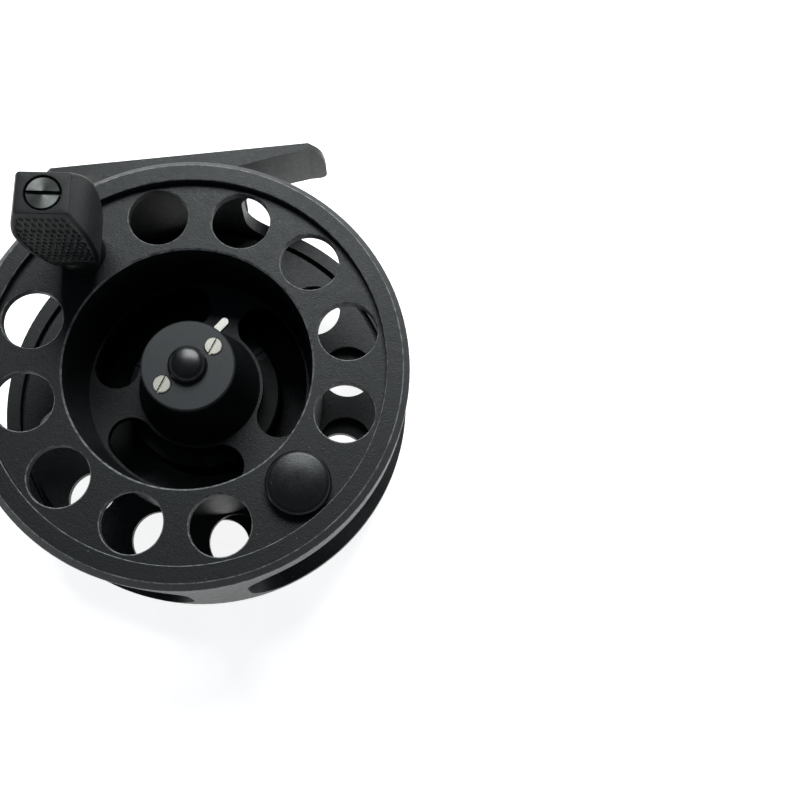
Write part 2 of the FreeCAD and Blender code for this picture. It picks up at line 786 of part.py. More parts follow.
def make_front_bearing():
    """Sealed ball bearing: inner ring, outer ring and sunk shields in one solid."""
    low = "sleeve_front - bearing_width + 0.05"
    high = "sleeve_front - 0.05"
    inner = "spindle_radius + 0.02"
    outer = "bearing_radius - 0.01"
    return turned_body("front_bearing", [
        (inner, low), ("3.2", low), ("3.2", low + " + 0.3"), ("4.3", low + " + 0.3"), ("4.3", low),
        (outer, low), (outer, high), ("4.3", high), ("4.3", high + " - 0.3"),
        ("3.2", high + " - 0.3"), ("3.2", high), (inner, high)])


def make_sleeve_clip():
    """Open ring in the spindle's groove, ahead of the sleeve."""
    clip = washer("sleeve_clip", "clip_groove_radius + 0.02", "4.4", "clip_low + 0.05",
                  "clip_high - 0.05")
    cut_outline(clip, "clip_gap", [("0", "0 - 1.6"), ("6", "0 - 1.6"), ("6", "1.6"), ("0", "1.6")],
                "clip_high + 1", "3", "60")
    return clip


def make_ratchet_wheel():
    """Click wheel with 24 teeth; a gap lies under the pawl's nose."""
    wheel = washer("ratchet_wheel", "sleeve_hub_radius + 0.01", "ratchet_root", "ratchet_low",
                   "ratchet_high")
    tooth = pad_outline(wheel, "tooth", [
        ("ratchet_root - 0.5", "0 - 0.8"), ("ratchet_root", "0 - 0.8"), ("ratchet_tip", "0 - 0.25"),
        ("ratchet_tip", "0.25"), ("ratchet_root", "0.8"), ("ratchet_root - 0.5", "0.8")],
        "ratchet_low", "ratchet_high - ratchet_low", "7.5")
    polar(wheel, "teeth", [tooth], 24)
    return wheel


def place_at_pawl(item):
    """Put a piece's own origin on the pawl's pivot, its X axis along the pawl's arm."""
    item.setExpression("Placement.Base.x", cells("pawl_circle * cos(pawl_turn)"))
    item.setExpression("Placement.Base.y", cells("pawl_circle * sin(pawl_turn)"))
    item.setExpression("Placement.Rotation.Angle", cells("pawl_arm_turn"))


def make_click_pawl():
    """Pawl arm with a nose that rests in a gap of the ratchet wheel."""
    pawl = new_body("click_pawl")
    pad_outline(pawl, "arm", [
        ("0 - 1.6", "0 - 1.2"), ("0.9", "0 - 1.6"), ("5.2", "0.1"), ("8.5", "1.15"),
        ("9", "0"), ("9.35", "0"), ("9.9", "1.15"), ("10.6", "1.4"), ("10.2", "2.6"),
        ("4", "2.2"), ("0 - 1", "1.8"), ("0 - 1.9", "0.6")],
        "pawl_low", "pawl_high - pawl_low")
    bore(pawl, "pivot_hole", [("0", "0", "pawl_pin_radius + 0.05")], "pawl_high + 1", "4")
    place_at_pawl(pawl)
    return pawl


def make_pawl_pin():
    """Headed pin in the housing cover on which the pawl rocks."""
    foot_level = "housing_front + 0.15"
    pin = turned_body("pawl_pin", [
        ("0", foot_level), ("pawl_pin_radius", foot_level), ("pawl_pin_radius", "pawl_high + 0.1"),
        ("1.3", "pawl_high + 0.1"), ("1.3", "pawl_high + 0.6"), ("0", "pawl_high + 0.6")])
    place_at_pawl(pin)
    return pin


def make_pawl_spring():
    """Leaf that presses the pawl towards the wheel, with its foot on the housing cover."""
    spring = new_body("pawl_spring")
    pad_outline(spring, "leaf", [("6.5", "2.8"), ("13.4", "2.8"), ("13.4", "3.05"), ("6.5", "3.05")],
                "pawl_low + 0.1", "pawl_high - pawl_low - 0.2")
    sketch = new_sketch(spring, "post_outline", "XY_Plane", ("0", "0", "housing_front + cover_thickness"))
    draw_circle(sketch, "13.6", "2.9", "0.7")
    post = spring.newObject("PartDesign::Pad", "post")
    post.Profile = sketch
    post.setExpression("Length", cells("pawl_high - housing_front - cover_thickness"))
    place_at_pawl(spring)
    return spring


# ---------------------------------------------------------------- spool

def make_spool():
    """Spool: rim, pierced front flange, deep recess, arbor, hub boss and rear flange."""
    floor_top = "spool_face - recess_depth"
    floor_low = "spool_face - recess_depth - floor_thickness"
    rear_top = "rear_flange_low + rear_flange_thickness"
    flange_low = "spool_face - flange_thickness"
    rim_top = "spool_face + rim_rise"
    rim_shoulder = "spool_face + rim_rise - rim_bevel"
    spool = turned_body("spool", [
        ("hub_bore", "hub_tube_low"), ("hub_tube_radius", "hub_tube_low"),
        ("hub_tube_radius", floor_low), ("recess_floor_radius - 0.4", floor_low),
        ("arbor_bore", "rear_flange_low"), ("rear_flange_radius", "rear_flange_low"),
        ("rear_flange_radius", rear_top), ("arbor_radius", rear_top), ("arbor_radius", flange_low),
        ("rim_skirt_radius", flange_low), ("rim_skirt_radius", "rim_skirt_low"),
        ("rim_radius", "rim_skirt_low"), ("rim_radius", rim_shoulder + " - edge_break"),
        ("rim_radius - 0.7 * edge_break", rim_shoulder + " + 0.7 * edge_break"),
        ("rim_radius - rim_bevel + 0.7 * edge_break", rim_top + " - 0.7 * edge_break"),
        ("rim_radius - rim_bevel - edge_break", rim_top),
        ("rim_step_radius + edge_break", rim_top), ("rim_step_radius", rim_top + " - edge_break"),
        ("rim_step_radius", "spool_face"), ("recess_radius + recess_bevel", "spool_face"),
        ("recess_radius", "spool_face - recess_bevel"), ("recess_floor_radius", floor_top),
        ("boss_root_radius", floor_top), ("boss_radius", "cap_low"),
        ("latch_chamber_radius", "cap_low"), ("latch_chamber_radius", "latch_chamber_floor"),
        ("hub_bore", "latch_chamber_floor")])

    pair = bore(spool, "front_holes_pair", [
        ("hole_circle", "0", "front_hole_radius"), ("0 - hole_circle", "0", "front_hole_radius")],
        "spool_face + 1", "flange_thickness + 2", "hole_turn + 150")
    polar(spool, "front_holes", [pair], 5, 120)
    rear = bore(spool, "rear_hole", [("hole_circle", "0", "front_hole_radius")],
                "rear_flange_low + rear_flange_thickness + 0.5", "rear_flange_thickness + 1", "hole_turn")
    polar(spool, "rear_holes", [rear], 12)

    kidney = turn_cut(spool, "kidney", [
        ("kidney_inner", floor_low + " - 1"), ("kidney_outer", floor_low + " - 1"),
        ("kidney_outer", floor_top + " + 1"), ("kidney_inner", floor_top + " + 1")],
        "hole_turn", "kidney_sweep")
    end = ("(kidney_inner + kidney_outer) / 2", "0", "(kidney_outer - kidney_inner) / 2")
    ends = [bore(spool, f"kidney_end_{side}", [end], floor_top + " + 1", "floor_thickness + 2",
                 f"hole_turn {sign} kidney_sweep / 2") for side, sign in (("left", "+"), ("right", "-"))]
    polar(spool, "kidneys", [kidney] + ends, 3)

    slot = cut_outline(spool, "dog_slot", [
        ("5.8", "0 - dog_width / 2 - 0.1"), ("dog_reach + 0.2", "0 - dog_width / 2 - 0.1"),
        ("dog_reach + 0.2", "dog_width / 2 + 0.1"), ("5.8", "dog_width / 2 + 0.1")],
        "dog_high + 0.2", "dog_high - hub_tube_low + 1")
    polar(spool, "dog_slots", [slot], 4)

    bore(spool, "cap_screw_pilots", [
        ("cap_screw_circle", "0", "cap_screw_radius + 0.05"),
        ("0 - cap_screw_circle", "0", "cap_screw_radius + 0.05")], "cap_low + 0.5", "4.5",
        "cap_screw_turn")
    cut_outline(spool, "latch_way", [("0", "0 - 1.1"), ("18", "0 - 1.1"), ("18", "4.9"), ("0", "1.3")],
                "cap_low + 0.5", "cap_low + 0.5 - latch_low + 0.2", "latch_way_turn",
                ("latch_pin_circle * cos(latch_pin_turn)", "latch_pin_circle * sin(latch_pin_turn)"))
    bore(spool, "post_hole", [("hole_circle", "0", "post_rivet_radius + 0.02")], "spool_face + 1",
         "flange_thickness + 2", "handle_turn")
    bore(spool, "weight_hole", [("hole_circle", "0", "weight_stem_radius + 0.05")], "spool_face + 1",
         "flange_thickness + 2", "weight_turn")
    bevel_edges(spool, "front_hole_edges", "hole_bevel",
                hole_edge_at(size("front_hole_radius"), size("spool_face")))
    return spool


def place_on_cap(item):
    """Turn a piece so that its X axis runs through both cap screws."""
    item.setExpression("Placement.Rotation.Angle", cells("cap_screw_turn"))


def make_hub_cap():
    """Disc over the latch, with two screw seats and a seat for the dome."""
    top = "cap_low + cap_thickness"
    cap = turned_body("hub_cap", [
        ("dome_stem_radius + 0.02", "cap_low"), ("cap_radius", "cap_low"),
        ("cap_radius", top + " - 0.3"), ("cap_radius - 0.3", top), ("dome_stem_radius + 0.02", top)])
    for name, radius, depth in (("cap_screw_seats", "cap_head_radius + 0.12", "0.85"),
                                ("cap_screw_ways", "cap_screw_radius + 0.05", "cap_thickness + 1")):
        bore(cap, name, [("cap_screw_circle", "0", radius), ("0 - cap_screw_circle", "0", radius)],
             top, depth)
    bore(cap, "latch_pin_seat", [("latch_pin_circle", "0", "latch_pin_radius + 0.01")],
         "cap_low + 1", "1.5", "latch_pin_turn - cap_screw_turn")
    place_on_cap(cap)
    return cap


def make_cap_screws():
    """Two slotted cheese-head screws that hold the hub cap."""
    seat = "cap_low + cap_thickness - 0.85"
    top = "cap_low + cap_thickness + cap_head_proud"
    screws = new_body("cap_screws", several=True)
    screw = turn_solid(screws, [
        ("0", "38.5"), ("cap_screw_radius", "38.5"), ("cap_screw_radius", seat),
        ("cap_head_radius", seat), ("cap_head_radius", top + " - 0.2"),
        ("cap_head_radius - 0.2", top), ("0", top)], "cap_screw", "0", ("cap_screw_circle", "0", "0"))
    slot = cut_outline(screws, "cap_screw_slot", [
        ("0 - 2.5", "0 - 0.28"), ("2.5", "0 - 0.28"), ("2.5", "0.28"), ("0 - 2.5", "0.28")],
        top + " + 0.1", "0.65", "25", ("cap_screw_circle", "0"))
    polar(screws, "cap_screw_pair", [screw, slot], 2)
    place_on_cap(screws)
    return screws


def make_hub_dome():
    """Domed plug in the middle of the cap."""
    seat = "cap_low + cap_thickness"
    dome = turned_body("hub_dome", [
        ("0", "cap_low + 0.1"), ("dome_stem_radius", "cap_low + 0.1"), ("dome_stem_radius", seat),
        ("dome_radius", seat), ("dome_radius", seat + " + dome_height - dome_drop"),
        ("dome_crown", seat + " + dome_height"), ("0", seat + " + dome_height")])
    top = size("cap_low") + size("cap_thickness") + size("dome_height")
    round_edges(dome, "dome_crown_fillet", "dome_crown_round", circle_at(size("dome_crown"), top))
    round_edges(dome, "dome_edge_fillet", "dome_edge",
                circle_at(size("dome_radius"), top - size("dome_drop")))
    return dome


def place_at_latch(item):
    """Put a piece's own origin on the latch pin, its X axis along the lever."""
    item.setExpression("Placement.Base.x", cells("latch_pin_circle * cos(latch_pin_turn)"))
    item.setExpression("Placement.Base.y", cells("latch_pin_circle * sin(latch_pin_turn)"))
    item.setExpression("Placement.Rotation.Angle", cells("latch_turn"))


def make_latch_pin():
    """Pin that hangs from the cap and carries the lever."""
    pin = turned_body("latch_pin", [
        ("0", "38.3"), ("latch_pin_radius", "38.3"), ("latch_pin_radius", "cap_low + 0.95"),
        ("0", "cap_low + 0.95")])
    place_at_latch(pin)
    return pin


def make_latch_lever():
    """Flat lever that runs from the pin, over the spindle, out past the cap's edge."""
    lever = new_body("latch_lever")
    pad_outline(lever, "blade", [
        ("0", "0 - latch_half_width"), ("latch_length", "0 - latch_half_width"),
        ("latch_length", "latch_half_width"), ("0", "latch_half_width")],
        "latch_low", "latch_thickness")

    def tip_corner(edge):
        return (isinstance(edge.Curve, Part.Line) and abs(edge.CenterOfMass.x - size("latch_length")) < 0.01
                and abs(abs(edge.CenterOfMass.y) - size("latch_half_width")) < 0.01)
    round_edges(lever, "tip_round", "latch_half_width - 0.02", tip_corner)
    sketch = new_sketch(lever, "eye_outline", "XY_Plane", ("0", "0", "groove_high + 0.1"))
    draw_circle(sketch, "0", "0", "latch_eye_radius")
    eye = lever.newObject("PartDesign::Pad", "eye")
    eye.Profile = sketch
    eye.setExpression("Length", cells("latch_low + latch_thickness - groove_high - 0.1"))
    bore(lever, "eye_hole", [("0", "0", "latch_pin_radius + 0.04")], "cap_low", "4")
    place_at_latch(lever)
    return lever


def make_latch_spring():
    """Wire bent to a U, whose legs lie in the spindle's groove."""
    level = (size("groove_low") + size("groove_high")) / 2
    wire_radius = 0.35
    leg_gap = 2.1
    bend = -2.45
    reach = 2.8
    start = Vector(reach, leg_gap, level)
    near = Vector(bend, leg_gap, level)
    far = Vector(bend, -leg_gap, level)
    path = Part.Wire([
        Part.LineSegment(start, near).toShape(),
        Part.Arc(near, Vector(bend - leg_gap, 0, level), far).toShape(),
        Part.LineSegment(far, Vector(reach, -leg_gap, level)).toShape()])
    section = Part.Wire(Part.Circle(start, Vector(1, 0, 0), wire_radius).toShape())
    spring = doc.addObject("Part::Feature", "latch_spring")
    spring.Label = "latch_spring"
    spring.Shape = path.makePipeShell([section], True, False)
    spring.setExpression("Placement.Rotation.Angle", cells("latch_pin_turn - 180"))
    return spring


# ---------------------------------------------------------------- handle and counterweight

def bowed_outline(sketch, neck, belly, crown):
    """Draw one view of the grip: sides bowed out to the belly, a flat neck and a flat crown."""
    corners = [(1, neck, "neck_level"), (1, belly, "belly_level"), (1, crown, "crown_level"),
               (-1, crown, "crown_level"), (-1, belly, "belly_level"), (-1, neck, "neck_level")]
    spots = [Vector(side * size(half), size(level), 0) for side, half, level in corners]
    for k, (side, half, level) in enumerate(corners):
        begin, finish = spots[k], spots[(k + 1) % 6]
        if half != belly and corners[(k + 1) % 6][1] != belly:
            sketch.addGeometry(Part.LineSegment(begin, finish))
            continue
        widest, other = (begin, finish) if half == belly else (finish, begin)
        reach, rise = abs(widest.x - other.x), widest.y - other.y
        radius = (reach * reach + rise * rise) / (2 * reach)
        centre = Vector(widest.x - side * radius, widest.y, 0)
        turns = [math.atan2(spot.y - centre.y, spot.x - centre.x) for spot in (begin, finish)]
        if turns[1] < turns[0]:
            turns[1] += 2 * math.pi
        sketch.addGeometry(Part.ArcOfCircle(Part.Circle(centre, Vector(0, 0, 1), radius), *turns))
    for k, (side, half, level) in enumerate(corners):
        sketch.addConstraint(Sketcher.Constraint("Coincident", k, 2, (k + 1) % 6, 1))
        pin_point(sketch, k, 1, f"{half} * ({side})", level)
        if half == belly:
            before = (k - 1) % 6
            sketch.addConstraint(Sketcher.Constraint("Horizontal", k, 3, k, 1))
            sketch.addConstraint(Sketcher.Constraint("Horizontal", before, 3, before, 2))


def place_at_handle(item):
    """Turn a piece built on the hole circle round to the handle."""
    item.setExpression("Placement.Rotation.Angle", cells("handle_turn"))


def make_handle_knob():
    """Grip bowed in both views, on a round collar, with a seat for the wide screw."""
    knob = new_body("handle_knob")
    shift = ("hole_circle", "0", "0")
    turn = "handle_square_turn - handle_turn"
    front = new_sketch(knob, "front_view", "XZ_Plane", shift, Vector(0, 1, 0), turn)
    bowed_outline(front, "neck_half", "belly_half", "crown_half")
    block = knob.newObject("PartDesign::Pad", "grip_block")
    block.Profile = front
    block.Midplane = True
    block.Length = 14
    before = volume_of(knob)

    side = new_sketch(knob, "side_view", "XZ_Plane", shift, Vector(0, 1, 0), turn + " + 90")
    bowed_outline(side, "neck_side_half", "belly_side_half", "crown_side_half")
    draw_outline(side, [("0 - 20", "neck_level - 5"), ("20", "neck_level - 5"),
                        ("20", "crown_level + 5"), ("0 - 20", "crown_level + 5")])
    trim = knob.newObject("PartDesign::Pocket", "grip_sides")
    trim.Profile = side
    trim.Midplane = True
    trim.Length = 30
    require_change(knob, trim, before, False)

    def long_corner(edge):
        upright = abs(edge.BoundBox.ZMax - edge.BoundBox.ZMin)
        return upright > 5.0
    round_edges(knob, "grip_corners", "0.35", long_corner)

    turn_solid(knob, [
        ("0", "handle_base"), ("collar_radius", "handle_base"), ("collar_radius", "neck_level + 0.4"),
        ("collar_radius - 0.7", "neck_level + 1.5"), ("0", "neck_level + 1.5")], "collar", "0", shift)
    bore(knob, "axle_hole", [("hole_circle", "0", "handle_bore")], "crown_level - 1.8",
         "handle_height")
    bore(knob, "screw_seat", [("hole_circle", "0", "handle_screw_head + 0.2")], "crown_level + 1",
         "2.8")
    place_at_handle(knob)
    return knob


def make_handle_post():
    """Axle riveted through the front flange, threaded for the handle screw."""
    top = "spool_face + handle_height - 1.55"
    shift = ("hole_circle", "0", "0")
    post = turned_body("handle_post", [
        ("0", "spool_face - flange_thickness - 1"), ("3.4", "spool_face - flange_thickness - 1"),
        ("3.4", "spool_face - flange_thickness"), ("post_rivet_radius", "spool_face - flange_thickness"),
        ("post_rivet_radius", "spool_face"), ("post_radius", "spool_face"), ("post_radius", top),
        ("0", top)], shift=shift)
    bore(post, "post_thread", [("hole_circle", "0", "handle_screw_radius + 0.05")], top, "9")
    place_at_handle(post)
    return post


def make_handle_washer():
    """Washer between the spool's face and the grip."""
    ring = turned_body("handle_washer", [
        ("post_radius + 0.05", "spool_face"), ("4.9", "spool_face"), ("4.9", "handle_base - 0.1"),
        ("post_radius + 0.05", "handle_base - 0.1")], shift=("hole_circle", "0", "0"))
    place_at_handle(ring)
    return ring


def make_handle_screw():
    """Wide slotted screw, flush in the crown of the grip."""
    top = "spool_face + handle_height - 0.05"
    under = "spool_face + handle_height - 1.5"
    screw = turned_body("handle_screw", [
        ("0", under + " - 8"), ("handle_screw_radius", under + " - 8"), ("handle_screw_radius", under),
        ("handle_screw_head", under), ("handle_screw_head", top + " - 0.2"),
        ("handle_screw_head - 0.2", top), ("0", top)], shift=("hole_circle", "0", "0"))
    cut_outline(screw, "handle_screw_slot", [
        ("0 - 4", "0 - 0.4"), ("4", "0 - 0.4"), ("4", "0.4"), ("0 - 4", "0.4")],
        top + " + 0.1", "0.8", "handle_square_turn - handle_turn", ("hole_circle", "0"))
    place_at_handle(screw)
    return screw


def place_at_weight(item):
    """Turn a piece built on the hole circle round to the counterweight."""
    item.setExpression("Placement.Rotation.Angle", cells("weight_turn"))


def make_counterweight():
    """Domed button opposite the handle, with a stem through the front flange."""
    top = "spool_face + weight_height"
    edge = top + " - weight_drop"
    weight = turned_body("counterweight", [
        ("0", "spool_face - flange_thickness"), ("weight_stem_radius", "spool_face - flange_thickness"),
        ("weight_stem_radius", "spool_face"), ("weight_radius", "spool_face"),
        ("weight_radius", edge), ("weight_crown", top), ("0", top)], shift=("hole_circle", "0", "0"))
    bore(weight, "weight_thread", [("hole_circle", "0", "1.25")], "spool_face + 2", "5")
    crown = size("spool_face") + size("weight_height")
    round_edges(weight, "weight_dome_round", "weight_dome", hole_edge_at(size("weight_crown"), crown))
    round_edges(weight, "weight_edge_round", "weight_edge",
                hole_edge_at(size("weight_radius"), crown - size("weight_drop")))
    place_at_weight(weight)
    return weight


def make_counterweight_screw():
    """Screw that clamps the counterweight from behind the flange."""
    under = "spool_face - flange_thickness"
    screw = turned_body("counterweight_screw", [
        ("0", under + " - 1.1"), ("3.9", under + " - 1.1"), ("3.9", under), ("1.2", under),
        ("1.2", "spool_face + 1.8"), ("0", "spool_face + 1.8")], shift=("hole_circle", "0", "0"))
    cut_outline(screw, "counterweight_screw_slot", [
        ("0 - 5", "0 - 0.4"), ("5", "0 - 0.4"), ("5", "0.4"), ("0 - 5", "0.4")],
        under + " - 0.5", "1", "0", ("hole_circle", "0"))
    place_at_weight(screw)
    return screw


# ---------------------------------------------------------------- the whole reel

sub_parts = [
    make_frame(), make_back_plate(), make_drag_housing(), make_foot(), make_foot_screws(),
    make_spindle(), make_spindle_nut(), make_drag_knob(), make_knob_screw(), make_knob_cap(),
    make_thrust_nut(), make_drag_spring(),
    washer("pressure_plate", "4.9", "housing_bore - 0.3", "plate_low", "plate_low + 1"),
    washer("rear_friction_disc", "8.6", "housing_bore - 0.4", "rear_disc_low", "rear_disc_low + 1"),
    make_drag_rotor(),
    washer("front_friction_disc", "8.8", "housing_bore - 0.4", "rotor_high + 0.05", "front_disc_high"),
    make_housing_cover(), make_cover_screws(),
    washer("clutch_shell", "clutch_bore", "clutch_radius - 0.02", "rotor_low + 0.15",
           "rotor_front - 0.2"),
    make_clutch_rollers(), make_drive_sleeve(),
    washer("rear_bush", "spindle_radius + 0.03", "3.29", "sleeve_rear", "sleeve_rear + 4.9"),
    make_front_bearing(), make_sleeve_clip(), make_ratchet_wheel(),
    make_click_pawl(), make_pawl_pin(), make_pawl_spring(),
    make_spool(), make_hub_cap(), make_cap_screws(), make_hub_dome(),
    make_latch_pin(), make_latch_lever(), make_latch_spring(),
    make_handle_knob(), make_handle_post(), make_handle_washer(), make_handle_screw(),
    make_counterweight(), make_counterweight_screw(),
]
doc.recompute()

for item in doc.Objects:
    if "Invalid" in item.State or "Error" in item.State:
        raise RuntimeError(f"{item.Name} failed: {item.State}")
for part in sub_parts:
    if part.Shape.isNull() or not part.Shape.isValid():
        raise RuntimeError(f"{part.Label} has no valid shape")

os.makedirs("parts", exist_ok=True)
for part in sub_parts:
    part.Shape.exportStep(f"parts/{part.Label}.step")
    print(part.Label, len(part.Shape.Solids), round(part.Shape.Volume, 1))
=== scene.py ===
"""Looks of the fly reel: materials, finely built visible pieces, floor, light and camera.

Places are in metres, with Z along the spindle, +Y to the reel foot and the floor at z = 0. The grip's own
sizes are in millimetres.
"""
import json
import math

import bmesh
import bpy
from mathutils import Matrix, Vector


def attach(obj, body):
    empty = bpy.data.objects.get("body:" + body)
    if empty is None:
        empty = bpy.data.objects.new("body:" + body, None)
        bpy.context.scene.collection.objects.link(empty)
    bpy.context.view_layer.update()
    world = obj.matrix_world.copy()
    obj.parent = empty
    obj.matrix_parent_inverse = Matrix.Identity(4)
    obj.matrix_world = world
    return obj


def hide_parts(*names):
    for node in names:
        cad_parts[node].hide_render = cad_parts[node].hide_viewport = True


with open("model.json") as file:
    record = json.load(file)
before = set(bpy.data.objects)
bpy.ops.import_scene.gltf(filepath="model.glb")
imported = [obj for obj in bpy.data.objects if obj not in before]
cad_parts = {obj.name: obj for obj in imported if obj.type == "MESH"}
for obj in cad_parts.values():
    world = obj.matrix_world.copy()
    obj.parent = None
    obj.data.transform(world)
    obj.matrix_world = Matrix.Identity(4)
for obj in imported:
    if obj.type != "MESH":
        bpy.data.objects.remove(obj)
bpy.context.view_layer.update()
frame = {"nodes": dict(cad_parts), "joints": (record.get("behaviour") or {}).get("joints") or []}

MM = 0.001
NODES = frame["nodes"]
JOINTS = {joint["name"]: joint for joint in frame["joints"]}


# ---------------------------------------------------------------- materials

MIX_FIRST, MIX_SECOND, MIX_RESULT = 6, 7, 2     # the Mix node's colour sockets share names with others

GRAIN_DEPTH, TURNED_DEPTH, DRAWN_DEPTH = 0.00010, 0.00004, 0.00003
RIPPLE_DEPTH, DUST_DEPTH = 0.00005, 0.00002
DUST_COLOUR = (0.10, 0.105, 0.11, 1.0)
# Grey of rubbed metal on the spool's edges, which also serves as a painted highlight along them
WORN_AND_HIGHLIGHT_COLOUR = (0.20, 0.205, 0.21, 1.0)

# The spool's broken edges, painted lighter as rubbed metal and as highlight lines: where they are, and the
# upward part of the normal of each kind
SPOOL_FACE_LEVEL, RIM_INSIDE, BEVEL_OUTSIDE = 0.0425, 0.040, 0.0408
BEVEL_LEAN = (0.60, 0.80)
RIM_LEANS = ((0.30, 0.45), (0.88, 0.96))


class Paint:
    """A procedural material under construction: one Principled shader and the nodes that feed it."""

    def __init__(self, name, **values):
        self.material = bpy.data.materials.new(name)
        self.material.use_nodes = True
        self.tree = self.material.node_tree
        self.tree.nodes.clear()
        output = self.tree.nodes.new("ShaderNodeOutputMaterial")
        self.shader = self.tree.nodes.new("ShaderNodeBsdfPrincipled")
        self.tree.links.new(self.shader.outputs["BSDF"], output.inputs["Surface"])
        self.place = self.tree.nodes.new("ShaderNodeTexCoord").outputs["Object"]
        for socket, value in values.items():
            self.shader.inputs[socket.replace("_", " ")].default_value = value

    def node(self, kind, inputs=None, **settings):
        """Add a node. An input is linked when it is given a socket, and set when it is given a value."""
        made = self.tree.nodes.new("ShaderNode" + kind)
        for key, value in settings.items():
            setattr(made, key, value)
        for key, value in (inputs or {}).items():
            if isinstance(value, bpy.types.NodeSocket):
                self.tree.links.new(value, made.inputs[key])
            else:
                made.inputs[key].default_value = value
        return made

    def math(self, operation, first, second=0.0):
        return self.node("Math", {0: first, 1: second}, operation=operation).outputs[0]

    def weighted(self, *parts):
        """Sum of values, each (value, weight)."""
        total = None
        for value, weight in parts:
            term = self.math("MULTIPLY", value, weight)
            total = term if total is None else self.math("ADD", total, term)
        return total

    def stretched(self, scale):
        return self.node("Mapping", {"Vector": self.place, "Scale": scale}).outputs["Vector"]

    def noise(self, scale, detail, roughness, where=None):
        inputs = {"Vector": where or self.place, "Scale": scale, "Detail": detail,
                  "Roughness": roughness}
        return self.node("TexNoise", inputs).outputs["Fac"]

    def ramp(self, factor, *stops):
        """Colour by factor, with stops as (position, colour)."""
        made = self.node("ValToRGB", {"Fac": factor})
        for element, (position, colour) in zip(made.color_ramp.elements, stops):
            element.position = position
            element.color = (*colour, 1.0)
        return made.outputs["Color"]

    def span(self, factor, low, high, start, end):
        """Stretch the values from start to end over low to high."""
        inputs = {"Value": factor, "From Min": start, "From Max": end, "To Min": low, "To Max": high}
        return self.node("MapRange", inputs).outputs["Result"]

    def blend(self, factor, first, second):
        inputs = {"Factor": factor, MIX_FIRST: first, MIX_SECOND: second}
        return self.node("Mix", inputs, data_type="RGBA").outputs[MIX_RESULT]

    def facing(self):
        return self.node("NewGeometry").outputs["True Normal"]

    def within(self, value, low, high):
        above = self.math("GREATER_THAN", value, low)
        return self.math("MULTIPLY", above, self.math("LESS_THAN", value, high))

    def polar(self):
        """Radius, turn about Z and height of each point."""
        parts = self.node("SeparateXYZ", {"Vector": self.place})
        x, y = parts.outputs["X"], parts.outputs["Y"]
        squares = self.math("ADD", self.math("MULTIPLY", x, x), self.math("MULTIPLY", y, y))
        return self.math("SQRT", squares), self.math("ARCTAN2", y, x), parts.outputs["Z"]

    def bump(self, *layers):
        """Stack height layers, each (height, strength, depth in metres)."""
        normal = None
        for height, strength, depth in layers:
            inputs = {"Height": height, "Strength": strength, "Distance": depth}
            if normal is not None:
                inputs["Normal"] = normal
            normal = self.node("Bump", inputs).outputs["Normal"]
        self.feed("Normal", normal)

    def feed(self, socket, value):
        self.tree.links.new(value, self.shader.inputs[socket])


def grey(value):
    """A grey that leans to blue."""
    return (value, value * 1.15, value * 1.3)


def cast_black(name, dark, light, rough, shine, grain=1.0, edges=None):
    """Satin black finish over a blasted casting: fine grain, faint mottling and a few specks of dust.

    edges(paint) may return a mask of the broken edges, painted lighter grey: partly finish rubbed down to
    grey metal, partly painted highlight lines.
    """
    paint = Paint(name, Metallic=0.0, Specular_IOR_Level=shine)
    fine = paint.noise(scale=3000.0, detail=3.0, roughness=0.65)
    soft = paint.noise(scale=700.0, detail=4.0, roughness=0.6)
    cloud = paint.noise(scale=45.0, detail=3.0, roughness=0.5)
    mixed = paint.weighted((fine, 0.5), (soft, 0.35), (cloud, 0.15))
    colour = paint.ramp(mixed, (0.36, grey(dark)), (0.62, grey(light)))
    specks = paint.noise(scale=1500.0, detail=1.0, roughness=0.5)
    colour = paint.blend(paint.span(specks, 0.0, 0.6, start=0.74, end=0.80), colour, DUST_COLOUR)
    if edges is not None:
        # Broken edges lightened: partly wear, partly painted highlight lines
        patches = paint.span(soft, 0.35, 1.0, start=0.4, end=0.6)
        colour = paint.blend(paint.math("MULTIPLY", edges(paint), patches), colour, WORN_AND_HIGHLIGHT_COLOUR)
    paint.feed("Base Color", colour)
    paint.feed("Roughness", paint.span(mixed, rough + 0.08, rough - 0.08, start=0.35, end=0.65))
    paint.bump((fine, 0.6 * grain, GRAIN_DEPTH), (soft, 0.3 * grain, GRAIN_DEPTH))
    return paint.material


def spool_worn_and_highlight_edges(paint):
    """Mask of the spool's broken edges, where rubbed metal and painted highlight lines go, told by how far
    they lean: holes, recess and both rim edges.
    """
    lean = paint.node("SeparateXYZ", {"Vector": paint.facing()}).outputs["Z"]
    radius, _, level = paint.polar()
    inside = paint.math("LESS_THAN", radius, BEVEL_OUTSIDE)
    bevels = paint.math("MULTIPLY", paint.within(lean, *BEVEL_LEAN), inside)
    rim = paint.math("ADD", *(paint.within(lean, *leans) for leans in RIM_LEANS))
    rim = paint.math("MULTIPLY", rim, paint.math("GREATER_THAN", radius, RIM_INSIDE))
    on_face = paint.math("GREATER_THAN", level, SPOOL_FACE_LEVEL)
    return paint.math("MULTIPLY", paint.math("ADD", bevels, rim), on_face)


def turned_black(name, dark, light, rough):
    """Satin finish over a turned face: fine rings about Z."""
    paint = Paint(name, Metallic=0.0)
    radius, turn, level = paint.polar()
    along_rings = paint.math("MULTIPLY", turn, 0.0004)
    where = paint.node("CombineXYZ", {"X": radius, "Y": along_rings, "Z": level}).outputs["Vector"]
    rings = paint.noise(scale=5200.0, detail=2.0, roughness=0.5, where=where)
    fine = paint.noise(scale=2600.0, detail=3.0, roughness=0.6)
    mixed = paint.weighted((rings, 0.5), (fine, 0.5))
    paint.feed("Base Color", paint.ramp(mixed, (0.35, grey(dark)), (0.65, grey(light))))
    paint.feed("Roughness", paint.span(mixed, rough + 0.06, rough - 0.06, start=0.35, end=0.65))
    paint.bump((rings, 0.18, TURNED_DEPTH), (fine, 0.15, TURNED_DEPTH))
    return paint.material


